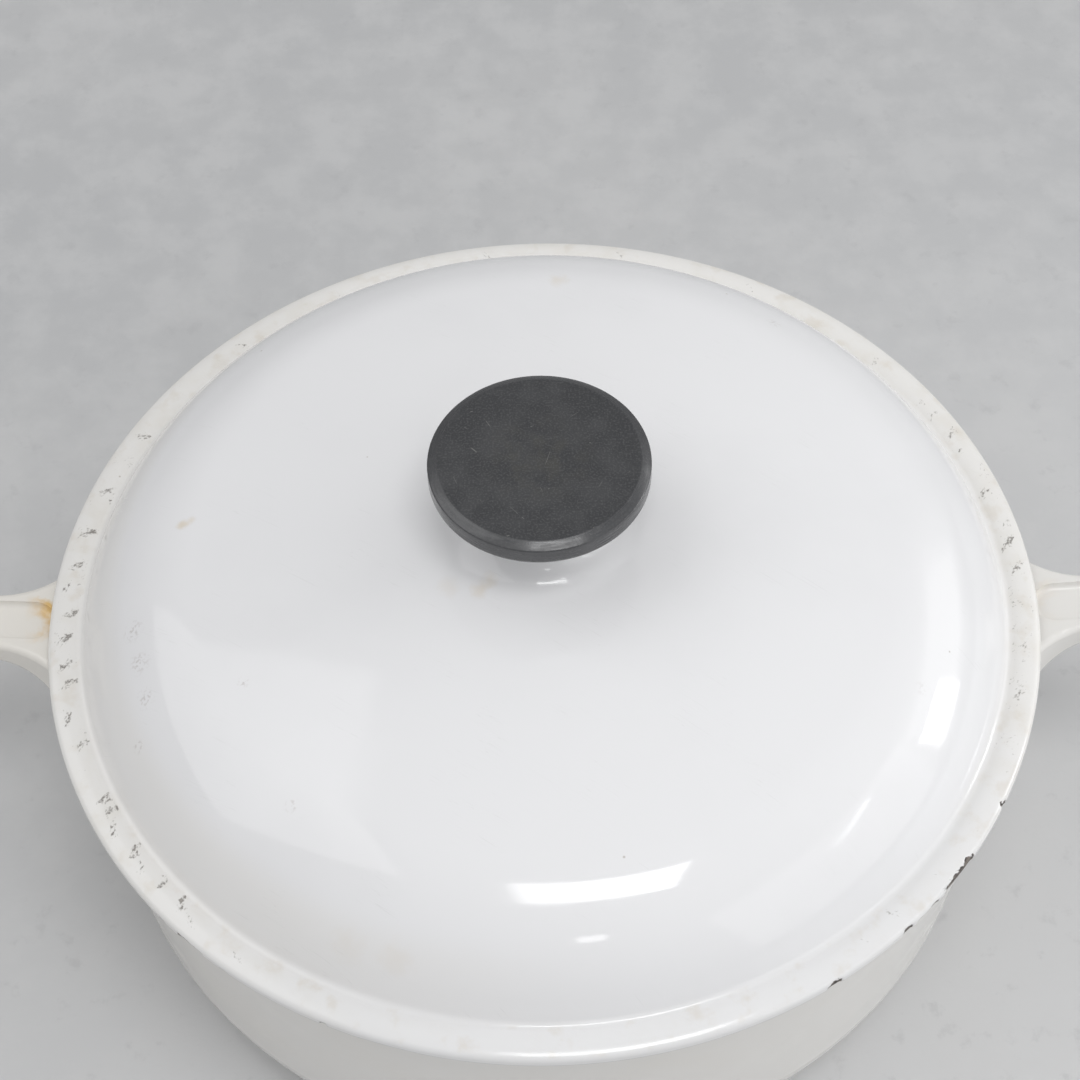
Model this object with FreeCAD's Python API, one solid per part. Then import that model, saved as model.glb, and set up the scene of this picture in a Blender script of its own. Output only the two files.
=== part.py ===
"""A round enamelled cast iron dutch oven with a domed lift-off lid.

The pot stands on z = 0 with its axis on Z and its two handles along X. Every length is in millimetres.
The pot is one casting with its handles. The lid is one casting with its hollow pedestal. A black
phenolic disc on the pedestal is the knob. It carries a moulded-in brass insert, and one screw with
two washers holds it from inside the pedestal.
"""

import FreeCAD, Part
import math
import os

Vector = FreeCAD.Vector
ORIGIN = Vector(0, 0, 0)
UP = Vector(0, 0, 1)
TINY = 1e-6

# ---------------------------------------------------------------- driving dimensions

# pot
RIM_HEIGHT = 90.7           # top face of the pot's rim above the floor
POT_RIM_RADIUS = 121.0      # outer radius of the wall at the rim
POT_BASE_RADIUS = 112.0     # outer radius where wall and floor would meet without rounding
POT_WALL = 4.8
POT_FLOOR = 5.0
POT_BASE_ROUNDING = 32.0
POT_RIM_ROUNDING = 0.9

# side handles, cast in one with the pot
HANDLE_NECK_REACH = 140.0   # distance of the narrow neck from the pot's axis
HANDLE_NECK_HALF = 8.0      # half width of the neck
HANDLE_ROOT_SWEEP = 25.0    # plan radius from the neck back to the pot's wall
HANDLE_TIP_SWEEP = 12.0     # plan radius from the neck out to the grip
HANDLE_TIP_TURN = 50.0      # degrees that the outer sweep turns through
HANDLE_SHOULDER = 7.0       # plan radius of the grip's corners
HANDLE_END_RADIUS = 24.0    # plan radius of the grip's outer end
HANDLE_NECK_THICKNESS = 7.2
HANDLE_TIP_THICKNESS = 6.0
HANDLE_ROOT_DEPTH = 16.0    # height of the handle where it leaves the wall
HANDLE_ROOT_SIDE = 3.0      # height of the root's upright sides, above its keel
HANDLE_KEEL_HALF = 2.7      # half width of the flat along the root's keel
KEEL_BULGE = 0.73           # the keel's curve passes this share of its half width and depth
HANDLE_UNDER_SWEEP = 30.0   # side-view radius that thins the root to the neck
HANDLE_RISE = 5.0           # degrees that the handle slopes up, outwards
HANDLE_DROP = 0.9           # top of the handle below the rim, at the wall
HANDLE_EDGE = 1.6           # rounding of the handle's long edges
DISH_BORDER = 2.3           # width of the raised border round the dished top
DISH_DEPTH = 1.7
DISH_LIP = 0.05             # upright lip left above the dish's rounded sides
DISH_START = 123.4          # distance of the dish's inner end from the pot's axis
WALL_OVERLAP = 1.2          # how far the handle's curves run on inside the wall's face

# lid
LID_RADIUS = 124.0
FLANGE_THICKNESS = 4.0
FLANGE_CREST_RADIUS = 119.6     # where the flange's rounded top is highest
FLANGE_CROWN = 9.0              # section radius of the flange's rounded top
FLANGE_EDGE = 1.6               # section radius of the flange's upper edge
FLANGE_LOWER_EDGE = 0.8
CREASE = 2.0                    # section radius of the crease between flange and shoulder
LID_WALL = 4.0
CROWN_HEIGHT = 31.5             # top of the crown above the flange, without the pedestal
CROWN_SPHERE = 450.0
SHOULDER_SPHERE = 40.5
SHOULDER_START = 11.0           # degrees of slope where the crown turns into the shoulder
RIB_OUTER = 114.8               # rib under the lid that drops inside the pot's rim
RIB_INNER = 110.8
RIB_DEPTH = 5.0
RIB_ROUNDING = 1.2

# pedestal, cast in one with the lid
NECK_RADIUS = 11.0
FLARE = 13.5                # section radius of the flare down to the crown
UPPER_FLARE = 14.0          # section radius of the flare up to the seat
SEAT_HEIGHT = 50.3          # seat of the knob above the flange's crest
SEAT_PLATE = 4.5
SEAT_EDGE = 0.8
SCREW_HOLE_RADIUS = 2.75

# knob
DISC_RADIUS = 26.2
DISC_HUB_RADIUS = 12.0
DISC_HUB = 1.5
DISC_EDGE_HEIGHT = 4.8      # from the underside to the foot of the bevel
DISC_BEVEL_WIDTH = 2.3
DISC_BEVEL_RISE = 1.2
DISC_LOWER_EDGE = 1.2
DISC_BEVEL_EASE = 0.35
INSERT_RADIUS = 4.0
INSERT_LENGTH = 5.8
INSERT_GROOVE_DEPTH = 0.6
INSERT_COLLAR = 1.6

# fixings: M5 by 12 screw, flat washer and spring washer
SCREW_RADIUS = 2.45
SCREW_LENGTH = 12.0
HEAD_RADIUS = 4.75
HEAD_HEIGHT = 3.6
HEAD_EDGE_HEIGHT = 1.6
HEAD_FLAT_RADIUS = 1.4
HEAD_SHOULDER_RADIUS = 3.7
HEAD_SHOULDER_DROP = 1.4    # from the head's shoulder to its upright edge
SCREW_POINT = 0.6
SLOT_WIDTH = 1.2
SLOT_DEPTH = 1.5
THREAD_BORE_RADIUS = 2.5
WASHER_BORE_RADIUS = 2.65
FLAT_WASHER_RADIUS = 5.0
FLAT_WASHER_THICKNESS = 1.0
LOCK_WASHER_RADIUS = 4.6
LOCK_WASHER_THICKNESS = 1.2
LOCK_WASHER_GAP = 1.0
LOCK_WASHER_SLANT = 20.0    # degrees between the split and the washer's axis

# heights worked out from those above
FLANGE_CREST = RIM_HEIGHT + FLANGE_THICKNESS
SEAT = FLANGE_CREST + SEAT_HEIGHT
SEAT_UNDERSIDE = SEAT - SEAT_PLATE
DISC_UNDERSIDE = SEAT + DISC_HUB


# ---------------------------------------------------------------- section helpers


def at(radius, height):
    """Point of a section: a distance from the axis and a height."""
    return Vector(radius, 0, height)


def bearing(centre, radius, degrees):
    """Point on a circle of the section, at an angle from straight up towards the outside."""
    turn = math.radians(degrees)
    return centre + Vector(radius * math.sin(turn), 0, radius * math.cos(turn))


def arc_about(centre, radius, start, end):
    """Arc as its start, middle and end point, between two bearings in degrees."""
    return tuple(bearing(centre, radius, angle) for angle in (start, (start + end) / 2, end))


def corner(before, point, after, radius):
    """Arc that rounds the corner between two straight lines, as start, middle and end point."""
    back = (before - point).normalize()
    on = (after - point).normalize()
    half = back.getAngle(on) / 2
    setback = radius / math.tan(half)
    middle = (back + on).normalize() * (radius / math.sin(half) - radius)
    return point + back * setback, point + middle, point + on * setback


def meeting(first, first_radius, second, second_radius):
    """Point at one distance from one centre and another distance from a second, on the upper side."""
    apart = second - first
    span = apart.Length
    along = (span**2 + first_radius**2 - second_radius**2) / (2 * span)
    across = math.sqrt(first_radius**2 - along**2)
    unit = apart / span
    return first + unit * along + Vector(-unit.z, 0, unit.x) * across


def heading(centre, point):
    """Bearing in degrees of a point from a centre."""
    offset = point - centre
    return math.degrees(math.atan2(offset.x, offset.z))


def outline(pieces):
    """Closed face through corner points and arcs, with straight lines between them."""
    runs = [piece if isinstance(piece, tuple) else (piece,) for piece in pieces]
    edges = []
    for run, following in zip(runs, runs[1:] + runs[:1]):
        if len(run) == 3:
            edges.append(Part.Arc(*run).toShape())
        if run[-1].distanceToPoint(following[0]) > TINY:
            edges.append(Part.LineSegment(run[-1], following[0]).toShape())
    return Part.Face(Part.Wire(edges))


def turned(pieces):
    """Solid of revolution about the vertical axis."""
    return outline(pieces).revolve(ORIGIN, UP, 360)


def ring(inner, outer, bottom, height):
    """Plain flat ring."""
    top = bottom + height
    return turned([at(inner, bottom), at(outer, bottom), at(outer, top), at(inner, top)])


# ---------------------------------------------------------------- pot


def wall_lines(offset, floor_height):
    """Foot and top of the tapered wall's line, moved inwards by an offset."""
    slope = (POT_RIM_RADIUS - POT_BASE_RADIUS) / RIM_HEIGHT
    foot = at(POT_BASE_RADIUS - offset + slope * floor_height, floor_height)
    return foot, at(POT_RIM_RADIUS - offset, RIM_HEIGHT)


def pot_block():
    """The pot's outside, still solid."""
    foot, top = wall_lines(0, 0)
    axis_top = at(0, RIM_HEIGHT)
    return turned([
        ORIGIN,
        corner(ORIGIN, foot, top, POT_BASE_ROUNDING),
        corner(foot, top, axis_top, POT_RIM_ROUNDING),
        axis_top,
    ])


def pot_hollow():
    """The space inside the pot, with the rim's inner edge rounded over."""
    floor_centre = at(0, POT_FLOOR)
    foot, top = wall_lines(POT_WALL, POT_FLOOR)
    lip_centre = top + Vector(POT_RIM_ROUNDING, 0, -POT_RIM_ROUNDING)
    above = at(0, RIM_HEIGHT + POT_FLOOR)
    return turned([
        floor_centre,
        corner(floor_centre, foot, top, POT_BASE_ROUNDING - POT_WALL),
        arc_about(lip_centre, POT_RIM_ROUNDING, -90, 0),
        at(lip_centre.x, above.z),
        above,
    ])


def mirrored(points):
    """The same plan points on the other side of the handle's centre line, in the other order."""
    return tuple(Vector(point.x, -point.y, 0) for point in reversed(points))


def plan_bearing(centre, radius, degrees):
    """Point on a circle of the plan, at an angle from straight outwards along X."""
    turn = math.radians(degrees)
    return centre + Vector(radius * math.cos(turn), radius * math.sin(turn), 0)


def plan_arc(centre, radius, start, end):
    """Arc of the plan as its start, middle and end point."""
    return tuple(plan_bearing(centre, radius, angle) for angle in (start, (start + end) / 2, end))


def grip_arcs(inset):
    """One side of the handle's grip and its end, from the neck outwards, inset from the edge."""
    sweep = HANDLE_TIP_SWEEP + inset
    shoulder = HANDLE_SHOULDER - inset
    sweep_centre = Vector(HANDLE_NECK_REACH, HANDLE_NECK_HALF + HANDLE_TIP_SWEEP, 0)
    outer = plan_arc(sweep_centre, sweep, -90, HANDLE_TIP_TURN - 90)
    shoulder_centre = plan_bearing(sweep_centre, sweep + shoulder, HANDLE_TIP_TURN - 90)
    # the end's circle holds both shoulder circles and touches them from inside
    reach = HANDLE_END_RADIUS - HANDLE_SHOULDER
    end_centre = Vector(shoulder_centre.x - math.sqrt(reach**2 - shoulder_centre.y**2), 0, 0)
    touch = math.degrees(math.atan2(shoulder_centre.y, shoulder_centre.x - end_centre.x))
    rounded = plan_arc(shoulder_centre, shoulder, HANDLE_TIP_TURN + 90, touch)
    end = plan_arc(end_centre, HANDLE_END_RADIUS - inset, touch, -touch)
    return outer, rounded, end


def root_arc():
    """Side of the handle's root, from inside the wall's face out to the neck."""
    centre = Vector(HANDLE_NECK_REACH, HANDLE_NECK_HALF + HANDLE_ROOT_SWEEP, 0)
    reach = HANDLE_NECK_REACH - POT_RIM_RADIUS + WALL_OVERLAP
    turn = math.degrees(math.asin(reach / HANDLE_ROOT_SWEEP))
    return plan_arc(centre, HANDLE_ROOT_SWEEP, -90 - turn, -90)


def handle_plan():
    """The handle seen from above, from inside the pot's wall to the tip."""
    outer, rounded, end = grip_arcs(0)
    root = root_arc()
    start = Vector(POT_RIM_RADIUS - 2 * POT_WALL, root[0].y, 0)
    return outline([start, root, outer, rounded, end, mirrored(rounded), mirrored(outer),
                    mirrored(root), Vector(start.x, -start.y, 0)])


def dish_plan():
    """The dish in the handle's top seen from above, with a round inner end."""
    outer, rounded, end = grip_arcs(DISH_BORDER)
    half = HANDLE_NECK_HALF - DISH_BORDER
    centre = Vector(DISH_START + half, 0, 0)
    inner_end = plan_arc(centre, half, -90, -270)
    return outline([inner_end, outer, rounded, end, mirrored(rounded), mirrored(outer)])


def handle_side(length):
    """The handle seen from the side, in the XZ plane, before it is sloped."""
    inside = POT_RIM_RADIUS - 2 * POT_WALL
    sweep_centre = at(HANDLE_NECK_REACH, -HANDLE_NECK_THICKNESS - HANDLE_UNDER_SWEEP)
    drop = HANDLE_ROOT_DEPTH - HANDLE_NECK_THICKNESS
    back = math.degrees(math.acos(1 - drop / HANDLE_UNDER_SWEEP))
    return outline([
        at(inside, 0),
        at(inside, -HANDLE_ROOT_DEPTH),
        arc_about(sweep_centre, HANDLE_UNDER_SWEEP, -back, 0),
        at(length, -HANDLE_TIP_THICKNESS),
        at(length, 0),
    ])


def handle_keel():
    """The root seen from the end of the handle: upright sides above a rounded keel."""
    plane = POT_RIM_RADIUS - 2 * POT_WALL
    half = root_arc()[0].y
    side = (
        Vector(plane, half, -HANDLE_ROOT_SIDE),
        Vector(plane, half * KEEL_BULGE, -HANDLE_ROOT_DEPTH * KEEL_BULGE),
        Vector(plane, HANDLE_KEEL_HALF, -HANDLE_ROOT_DEPTH),
    )
    other_side = tuple(Vector(point.x, -point.y, point.z) for point in reversed(side))
    return outline([Vector(plane, half, 0), side, other_side, Vector(plane, -half, 0)])


def handle():
    """One handle, pointing along +X, with its dished top and rounded edges."""
    plan = handle_plan()
    length = plan.BoundBox.XMax
    side = handle_side(length)
    side.translate(Vector(0, -HANDLE_ROOT_SWEEP, 0))
    blank = plan.extrude(Vector(0, 0, -HANDLE_ROOT_DEPTH))
    blank = blank.common(side.extrude(Vector(0, 2 * HANDLE_ROOT_SWEEP, 0)))
    blank = blank.common(handle_keel().extrude(Vector(length, 0, 0)))
    blank = blank.makeFillet(HANDLE_EDGE, [edge for edge in blank.Edges if runs_outside(edge)])
    dish = dish_plan().extrude(Vector(0, 0, -DISH_DEPTH))
    floor_edges = [edge for edge in dish.Edges if edge.BoundBox.ZMax < -DISH_DEPTH / 2]
    blank = blank.cut(dish.makeFillet(DISH_DEPTH - DISH_LIP, floor_edges))
    blank.rotate(at(POT_RIM_RADIUS, 0), Vector(0, -1, 0), HANDLE_RISE)
    blank.translate(Vector(0, 0, RIM_HEIGHT - HANDLE_DROP))
    return blank


def runs_outside(edge):
    """True for the edges that run along the handle outside the wall, above and below."""
    box = edge.BoundBox
    upright = box.ZLength > max(box.XLength, box.YLength)
    return box.XMax > POT_RIM_RADIUS - POT_WALL and not upright


def pot():
    """The pot with a handle on each side, hollowed last so that the handles end at the wall."""
    right = handle()
    left = right.copy()
    left.rotate(ORIGIN, UP, 180)
    solid = pot_block().fuse([right, left]).cut(pot_hollow())
    return solid.removeSplitter()


# ---------------------------------------------------------------- lid


def lid():
    """The lid: pedestal, crown, shoulder, flange and locating rib, turned in one section."""
    crown_centre = at(0, FLANGE_CREST + CROWN_HEIGHT - CROWN_SPHERE)
    shoulder_centre = bearing(crown_centre, CROWN_SPHERE - SHOULDER_SPHERE, SHOULDER_START)
    bead_centre = at(FLANGE_CREST_RADIUS, FLANGE_CREST - FLANGE_CROWN)

    # pedestal outside: the neck is where the two flares meet
    flare_reach = NECK_RADIUS + FLARE
    neck_height = crown_centre.z + math.sqrt((CROWN_SPHERE + FLARE)**2 - flare_reach**2)
    flare_centre = at(flare_reach, neck_height)
    flare_foot = heading(crown_centre, flare_centre)
    upper_centre = at(NECK_RADIUS + UPPER_FLARE, neck_height)
    upper_climb = math.degrees(math.asin((SEAT - SEAT_EDGE - neck_height) / UPPER_FLARE))
    upper = arc_about(upper_centre, UPPER_FLARE, -90 + upper_climb, -90)
    seat_corner = arc_about(upper[0] - Vector(SEAT_EDGE, 0, 0), SEAT_EDGE, 0, 90)
    flare = arc_about(flare_centre, FLARE, -90, flare_foot - 180)

    # crown, shoulder, crease and flange
    crease_centre = meeting(shoulder_centre, SHOULDER_SPHERE + CREASE, bead_centre, FLANGE_CROWN + CREASE)
    shoulder_end = heading(shoulder_centre, crease_centre)
    bead_start = heading(bead_centre, crease_centre)
    edge_turn = math.degrees(math.asin(
        (LID_RADIUS - FLANGE_EDGE - FLANGE_CREST_RADIUS) / (FLANGE_CROWN - FLANGE_EDGE)))
    edge_centre = bearing(bead_centre, FLANGE_CROWN - FLANGE_EDGE, edge_turn)
    lower_edge_centre = at(LID_RADIUS - FLANGE_LOWER_EDGE, RIM_HEIGHT + FLANGE_LOWER_EDGE)

    # underside
    rib_bottom = RIM_HEIGHT - RIB_DEPTH
    rib_corner = RIB_OUTER - RIB_ROUNDING, rib_bottom + RIB_ROUNDING
    rib_inner_corner = RIB_INNER + RIB_ROUNDING, rib_bottom + RIB_ROUNDING
    rib_root = at(RIB_OUTER + FLANGE_LOWER_EDGE, RIM_HEIGHT - FLANGE_LOWER_EDGE)
    under_shoulder = SHOULDER_SPHERE - LID_WALL
    rib_meets = math.degrees(math.asin((RIB_INNER - shoulder_centre.x) / under_shoulder))
    well_radius = NECK_RADIUS - LID_WALL
    well_top = at(well_radius, SEAT_UNDERSIDE)

    return turned([
        at(SCREW_HOLE_RADIUS, SEAT),
        seat_corner,
        upper,
        flare,
        arc_about(crown_centre, CROWN_SPHERE, flare_foot, SHOULDER_START),
        arc_about(shoulder_centre, SHOULDER_SPHERE, SHOULDER_START, shoulder_end),
        arc_about(crease_centre, CREASE, shoulder_end - 180, bead_start - 180),
        arc_about(bead_centre, FLANGE_CROWN, bead_start, edge_turn),
        arc_about(edge_centre, FLANGE_EDGE, edge_turn, 90),
        arc_about(lower_edge_centre, FLANGE_LOWER_EDGE, 90, 180),
        arc_about(rib_root, FLANGE_LOWER_EDGE, 0, -90),
        arc_about(at(*rib_corner), RIB_ROUNDING, 90, 180),
        arc_about(at(*rib_inner_corner), RIB_ROUNDING, 180, 270),
        arc_about(shoulder_centre, under_shoulder, rib_meets, SHOULDER_START),
        arc_about(crown_centre, CROWN_SPHERE - LID_WALL, SHOULDER_START, flare_foot),
        arc_about(flare_centre, FLARE + LID_WALL, flare_foot - 180, -90),
        corner(at(well_radius, neck_height), well_top, at(0, SEAT_UNDERSIDE), SEAT_EDGE),
        at(SCREW_HOLE_RADIUS, SEAT_UNDERSIDE),
    ])


# ---------------------------------------------------------------- knob


def knob_insert():
    """Brass insert: two collars with a groove between them, and a blind threaded hole."""
    waist = INSERT_RADIUS - INSERT_GROOVE_DEPTH
    top = SEAT + INSERT_LENGTH
    return turned([
        at(THREAD_BORE_RADIUS, SEAT),
        at(INSERT_RADIUS, SEAT),
        at(INSERT_RADIUS, SEAT + INSERT_COLLAR),
        at(waist, SEAT + INSERT_COLLAR),
        at(waist, top - INSERT_COLLAR),
        at(INSERT_RADIUS, top - INSERT_COLLAR),
        at(INSERT_RADIUS, top),
        at(THREAD_BORE_RADIUS, top),
    ])


def knob_disc():
    """Phenolic disc with a bevelled edge and a hub, moulded round the insert."""
    bevel_foot = at(DISC_RADIUS, DISC_UNDERSIDE + DISC_EDGE_HEIGHT)
    bevel_top = bevel_foot + Vector(-DISC_BEVEL_WIDTH, 0, DISC_BEVEL_RISE)
    top_centre = at(0, bevel_top.z)
    low_corner = at(DISC_RADIUS, DISC_UNDERSIDE)
    hub_root = at(DISC_HUB_RADIUS, DISC_UNDERSIDE)
    blank = turned([
        at(0, SEAT),
        at(DISC_HUB_RADIUS, SEAT),
        hub_root,
        corner(hub_root, low_corner, bevel_foot, DISC_LOWER_EDGE),
        corner(low_corner, bevel_foot, bevel_top, DISC_BEVEL_EASE),
        corner(bevel_foot, bevel_top, top_centre, DISC_BEVEL_EASE),
        top_centre,
    ])
    socket = turned([
        at(0, SEAT),
        at(THREAD_BORE_RADIUS, SEAT),
        at(THREAD_BORE_RADIUS, SEAT + INSERT_LENGTH),
        at(0, SEAT + INSERT_LENGTH),
    ])
    return blank.cut(knob_insert()).cut(socket)


# ---------------------------------------------------------------- fixings


def flat_washer():
    """Flat washer against the underside of the seat."""
    bottom = SEAT_UNDERSIDE - FLAT_WASHER_THICKNESS
    return ring(WASHER_BORE_RADIUS, FLAT_WASHER_RADIUS, bottom, FLAT_WASHER_THICKNESS)


def lock_washer():
    """Spring washer, drawn flat as it is when tight, with its slanted split."""
    bottom = SEAT_UNDERSIDE - FLAT_WASHER_THICKNESS - LOCK_WASHER_THICKNESS
    whole = ring(WASHER_BORE_RADIUS, LOCK_WASHER_RADIUS, bottom, LOCK_WASHER_THICKNESS)
    split = Part.makeBox(LOCK_WASHER_RADIUS, LOCK_WASHER_GAP, 4 * LOCK_WASHER_THICKNESS)
    split.translate(Vector(0, -LOCK_WASHER_GAP / 2, -2 * LOCK_WASHER_THICKNESS))
    split.rotate(ORIGIN, Vector(1, 0, 0), LOCK_WASHER_SLANT)
    split.translate(Vector(0, 0, bottom + LOCK_WASHER_THICKNESS / 2))
    return whole.cut(split)


def knob_screw():
    """Slotted pan-head screw, pointing up, with a plain shank in place of the thread."""
    shoulder = SEAT_UNDERSIDE - FLAT_WASHER_THICKNESS - LOCK_WASHER_THICKNESS
    head_bottom = shoulder - HEAD_HEIGHT
    edge_bottom = shoulder - HEAD_EDGE_HEIGHT
    tip = shoulder + SCREW_LENGTH
    dome = (
        at(HEAD_FLAT_RADIUS, head_bottom),
        at(HEAD_SHOULDER_RADIUS, edge_bottom - HEAD_SHOULDER_DROP),
        at(HEAD_RADIUS, edge_bottom),
    )
    body = turned([
        at(0, head_bottom),
        dome,
        at(HEAD_RADIUS, shoulder),
        at(SCREW_RADIUS, shoulder),
        at(SCREW_RADIUS, tip - SCREW_POINT),
        at(SCREW_RADIUS - SCREW_POINT, tip),
        at(0, tip),
    ])
    slot = Part.makeBox(4 * HEAD_RADIUS, SLOT_WIDTH, SLOT_DEPTH)
    slot.translate(Vector(-2 * HEAD_RADIUS, -SLOT_WIDTH / 2, head_bottom))
    return body.cut(slot)


# ---------------------------------------------------------------- write the parts

PARTS = {
    "pot": pot,
    "lid": lid,
    "knob_disc": knob_disc,
    "knob_insert": knob_insert,
    "knob_screw": knob_screw,
    "flat_washer": flat_washer,
    "lock_washer": lock_washer,
}

os.makedirs("parts", exist_ok=True)
for name, make in PARTS.items():
    shape = make()
    shape.exportStep(f"parts/{name}.step")
    volume = shape.Volume / 1000
    print(f"{name}: {len(shape.Solids)} solid, valid {shape.isValid()}, {volume:.2f} cm3")
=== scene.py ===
# %% [markdown]
# # An enamelled cast iron dutch oven
# The real object is two iron castings under white vitreous enamel: a round pot with two side
# handles, and a domed lid with a pedestal in its middle. A black phenolic disc is screwed to the
# pedestal as the knob. This lesson loads the measured CAD model as a fixed frame. It then turns,
# extrudes and wears the visible pieces, mixes their finishes from nodes, and sets up the light.

# %% Load the frame
import math
import bmesh
import bpy
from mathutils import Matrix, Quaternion, Vector, noise


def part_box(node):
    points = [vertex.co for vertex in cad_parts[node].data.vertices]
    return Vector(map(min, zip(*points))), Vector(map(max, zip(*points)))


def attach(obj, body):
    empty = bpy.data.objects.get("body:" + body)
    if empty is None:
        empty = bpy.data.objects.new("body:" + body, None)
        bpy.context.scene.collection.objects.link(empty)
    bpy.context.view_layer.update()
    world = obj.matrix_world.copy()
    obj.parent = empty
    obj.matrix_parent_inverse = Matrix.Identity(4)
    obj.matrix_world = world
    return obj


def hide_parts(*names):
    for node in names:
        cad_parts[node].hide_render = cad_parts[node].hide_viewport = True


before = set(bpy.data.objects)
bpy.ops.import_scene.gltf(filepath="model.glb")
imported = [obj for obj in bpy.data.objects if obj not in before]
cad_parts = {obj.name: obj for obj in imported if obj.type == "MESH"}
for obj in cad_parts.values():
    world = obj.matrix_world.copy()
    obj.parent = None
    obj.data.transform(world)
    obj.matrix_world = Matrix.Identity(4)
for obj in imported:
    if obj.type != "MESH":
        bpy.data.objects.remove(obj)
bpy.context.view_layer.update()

print("CAD nodes:", sorted(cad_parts))

# %% [markdown]
# ## Sizes that the pieces share
# Pieces are modelled in millimetres, because the drawing of a casting is, and each one is brought
# to metres when it is done. Heights and radii are read from the boxes of the CAD nodes, so the
# new pieces land where the frame says.

# %% Shared sizes
MM = 0.001
lid_low, lid_high = (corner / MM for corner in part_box("lid"))
disc_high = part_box("knob_disc")[1] / MM

LID_RADIUS = lid_high.x
SEAT = lid_high.z
SEAT_HEIGHT = 50.3
FLANGE_THICKNESS = 4.0
CREST = SEAT - SEAT_HEIGHT
RIM = CREST - FLANGE_THICKNESS
print(f"flange radius {LID_RADIUS:.1f}, crest {CREST:.1f}, rim {RIM:.1f}, seat {SEAT:.1f} mm")

# %% [markdown]
# ## A pen for sections
# Everything round here could start as a cylinder that is pushed into shape, but a section drawn
# once and spun about the axis is exact and easy to change. The pen draws in the XZ plane. A line
# is one vertex extruded and moved. An arc is one vertex spun about the arc's centre, with the
# angle counted from straight up towards the outside, as on a clock face.

# %% The pen
SHARP_ANGLE = math.radians(38)


class Pen:
    """Draws a section, and turns it about the vertical axis."""

    def __init__(self, radius, height):
        self.bm = bmesh.new()
        self.tip = bmesh.ops.create_vert(self.bm, co=(radius, 0, height))["vert"][0]

    def line(self, radius, height, steps=1):
        move = (Vector((radius, 0, height)) - self.tip.co) / steps
        for _ in range(steps):
            made = bmesh.ops.extrude_vert_indiv(self.bm, verts=[self.tip])
            self.tip = made["verts"][0]
            bmesh.ops.translate(self.bm, verts=[self.tip], vec=move)

    def arc(self, centre, degrees, steps):
        made = bmesh.ops.spin(
            self.bm, geom=[self.tip], cent=centre, axis=(0, 1, 0),
            angle=math.radians(degrees), steps=steps)
        self.tip = next(part for part in made["geom_last"] if isinstance(part, bmesh.types.BMVert))

    def round_corner(self, before, point, after, radius, steps, line_steps=1):
        """Runs to a corner between two straight lines and rounds it."""
        back = (before - point).normalized()
        on = (after - point).normalized()
        half = back.angle(on) / 2
        start = point + back * radius / math.tan(half)
        centre = point + (back + on).normalized() * radius / math.sin(half)
        turn = heading(point, after) - heading(before, point)
        self.line(start.x, start.z, line_steps)
        self.arc(centre, (turn + 180) % 360 - 180, steps)

    def turn(self, steps):
        """Spins the section into a closed shape with its faces outwards."""
        section = self.bm.verts[:] + self.bm.edges[:]
        bmesh.ops.spin(
            self.bm, geom=section, cent=(0, 0, 0), axis=(0, 0, 1),
            angle=math.tau, steps=steps, use_merge=True)
        bmesh.ops.remove_doubles(self.bm, verts=self.bm.verts, dist=0.001)
        bmesh.ops.recalc_face_normals(self.bm, faces=self.bm.faces)
        return self.bm


def at(radius, height):
    """Point of a section."""
    return Vector((radius, 0, height))


def bearing(centre, radius, degrees):
    """Point on a circle of the section, at an angle from straight up towards the outside."""
    turn = math.radians(degrees)
    return centre + Vector((radius * math.sin(turn), 0, radius * math.cos(turn)))


def heading(centre, point):
    """Angle of a point as seen from a centre, from straight up towards the outside."""
    return math.degrees(math.atan2(point.x - centre.x, point.z - centre.z))


def meeting(first, first_radius, second, second_radius):
    """Upper point at one distance from one centre and another distance from a second."""
    apart = second - first
    span = apart.length
    along = (span**2 + first_radius**2 - second_radius**2) / (2 * span)
    across = math.sqrt(first_radius**2 - along**2)
    unit = apart / span
    return first + unit * along + Vector((-unit.z, 0, unit.x)) * across


# %% [markdown]
# ## From a mesh to a piece
# A finished mesh is brought to metres and shaded smooth. Edges that turn more sharply than
# enamel or moulded phenolic can round are marked sharp. The piece then rides on its CAD body, and
# the CAD node that it replaces is hidden.

# %% Making a piece


def make_piece(bm, name, body, node, finishes):
    for face in bm.faces:
        face.smooth = True
    for edge in bm.edges:
        edge.smooth = edge.calc_face_angle(0) < SHARP_ANGLE
    bmesh.ops.scale(bm, vec=(MM, MM, MM), verts=bm.verts)
    mesh = bpy.data.meshes.new(name)
    bm.to_mesh(mesh)
    bm.free()
    piece = bpy.data.objects.new(name, mesh)
    bpy.context.scene.collection.objects.link(piece)
    for finish in finishes:
        mesh.materials.append(finish)
    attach(piece, body)
    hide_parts(node)
    print(f"{name}: {len(mesh.vertices)} vertices, {len(mesh.polygons)} faces, on body {body}")
    return piece


# %% [markdown]
# ## A bench for finishes
# Each finish is one Principled shader with its colour, roughness and bump built from patterns in
# object coordinates, so the patterns stay put on the piece from every side. The bench keeps the
# node calls short: every pattern size is given in millimetres on the object.

# %% The bench


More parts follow.
